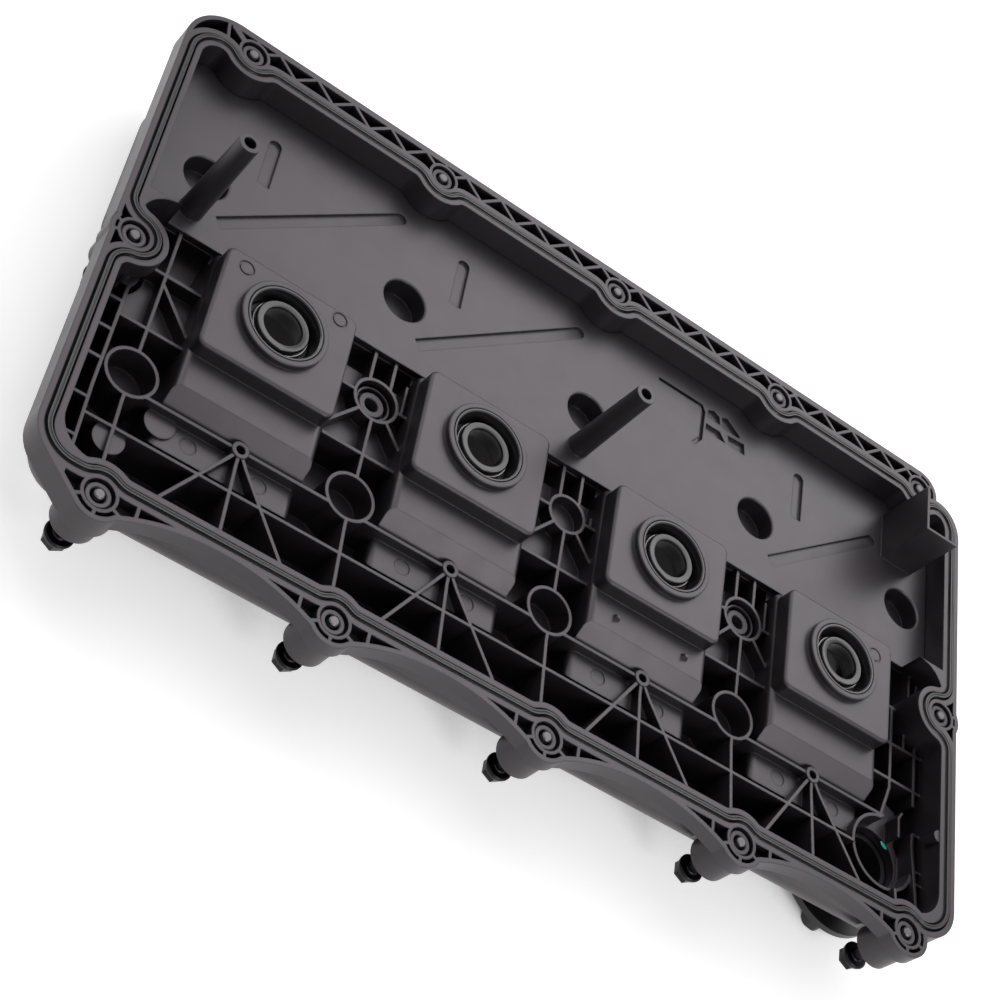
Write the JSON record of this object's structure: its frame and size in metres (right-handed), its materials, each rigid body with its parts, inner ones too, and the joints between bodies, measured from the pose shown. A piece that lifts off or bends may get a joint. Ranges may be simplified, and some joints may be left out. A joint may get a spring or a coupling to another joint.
{
  "type": "engine valve cover",
  "caption": "Moulded valve cover for an inline engine, open side up, with gasket, oil separator plate, injector seals, captive bolts and an oil filler cap.",
  "frame": {"origin": "middle of the four corner bolts, on the gasket flange's face", "axes": "+X along the cylinder row, +Y towards the truss edge, +Z out of the open side"},
  "size_m": [0.3987, 0.2388, 0.079],
  "materials": {
    "housing_nylon": "moulded glass-filled nylon, satin",
    "plate_nylon": "moulded glass-filled nylon, satin",
    "gasket_rubber": "moulded rubber, matt",
    "seal_rubber": "moulded rubber, oiled",
    "sleeve_steel": "turned steel, dull",
    "bush_rubber": "moulded rubber, matt",
    "bolt_steel": "black phosphated steel",
    "cap_plastic": "moulded black plastic",
    "cap_seal_rubber": "moulded rubber ring"
  },
  "bodies": {
    "cover": {"cover_housing": "housing_nylon", "separator_plate": "plate_nylon", "perimeter_gasket": "gasket_rubber", "injector_seal_1": "seal_rubber", "injector_seal_2": "seal_rubber", "injector_seal_3": "seal_rubber", "injector_seal_4": "seal_rubber", "compression_limiters": "sleeve_steel", "bolt_bushes": "bush_rubber"},
    "filler_cap": {"oil_filler_cap": "cap_plastic", "filler_cap_seal": "cap_seal_rubber"},
    "bolt_rear_1_body": {"bolt_rear_1": "bolt_steel"},
    "bolt_rear_2_body": {"bolt_rear_2": "bolt_steel"},
    "bolt_rear_3_body": {"bolt_rear_3": "bolt_steel"},
    "bolt_rear_4_body": {"bolt_rear_4": "bolt_steel"},
    "bolt_rear_5_body": {"bolt_rear_5": "bolt_steel"},
    "bolt_front_1_body": {"bolt_front_1": "bolt_steel"},
    "bolt_front_2_body": {"bolt_front_2": "bolt_steel"},
    "bolt_front_3_body": {"bolt_front_3": "bolt_steel"},
    "bolt_front_4_body": {"bolt_front_4": "bolt_steel"},
    "bolt_front_5_body": {"bolt_front_5": "bolt_steel"},
    "bolt_left_body": {"bolt_left": "bolt_steel"},
    "bolt_right_body": {"bolt_right": "bolt_steel"},
    "bolt_middle_1_body": {"bolt_middle_1": "bolt_steel"},
    "bolt_middle_2_body": {"bolt_middle_2": "bolt_steel"}
  },
  "joints": [
    {"name": "filler_cap_turn", "type": "hinge", "parent": "cover", "child": "filler_cap", "pos_m": [0.1702, -0.0715, -0.04], "axis": [0, 0, 1], "range_deg": [0, 90]},
    {"name": "bolt_rear_1_slide", "type": "slide", "parent": "cover", "child": "bolt_rear_1_body", "axis": [0, 0, 1], "range_m": [0, 0.0088]},
    {"name": "bolt_rear_2_slide", "type": "slide", "parent": "cover", "child": "bolt_rear_2_body", "axis": [0, 0, 1], "range_m": [0, 0.0088]},
    {"name": "bolt_rear_3_slide", "type": "slide", "parent": "cover", "child": "bolt_rear_3_body", "axis": [0, 0, 1], "range_m": [0, 0.0088]},
    {"name": "bolt_rear_4_slide", "type": "slide", "parent": "cover", "child": "bolt_rear_4_body", "axis": [0, 0, 1], "range_m": [0, 0.0088]},
    {"name": "bolt_rear_5_slide", "type": "slide", "parent": "cover", "child": "bolt_rear_5_body", "axis": [0, 0, 1], "range_m": [0, 0.0088]},
    {"name": "bolt_front_1_slide", "type": "slide", "parent": "cover", "child": "bolt_front_1_body", "axis": [0, 0, 1], "range_m": [0, 0.0088]},
    {"name": "bolt_front_2_slide", "type": "slide", "parent": "cover", "child": "bolt_front_2_body", "axis": [0, 0, 1], "range_m": [0, 0.0088]},
    {"name": "bolt_front_3_slide", "type": "slide", "parent": "cover", "child": "bolt_front_3_body", "axis": [0, 0, 1], "range_m": [0, 0.0088]},
    {"name": "bolt_front_4_slide", "type": "slide", "parent": "cover", "child": "bolt_front_4_body", "axis": [0, 0, 1], "range_m": [0, 0.0088]},
    {"name": "bolt_front_5_slide", "type": "slide", "parent": "cover", "child": "bolt_front_5_body", "axis": [0, 0, 1], "range_m": [0, 0.0088]},
    {"name": "bolt_left_slide", "type": "slide", "parent": "cover", "child": "bolt_left_body", "axis": [0, 0, 1], "range_m": [0, 0.0088]},
    {"name": "bolt_right_slide", "type": "slide", "parent": "cover", "child": "bolt_right_body", "axis": [0, 0, 1], "range_m": [0, 0.0088]},
    {"name": "bolt_middle_1_slide", "type": "slide", "parent": "cover", "child": "bolt_middle_1_body", "axis": [0, 0, 1], "range_m": [0, 0.007]},
    {"name": "bolt_middle_2_slide", "type": "slide", "parent": "cover", "child": "bolt_middle_2_body", "axis": [0, 0, 1], "range_m": [0, 0.007]}
  ]
}
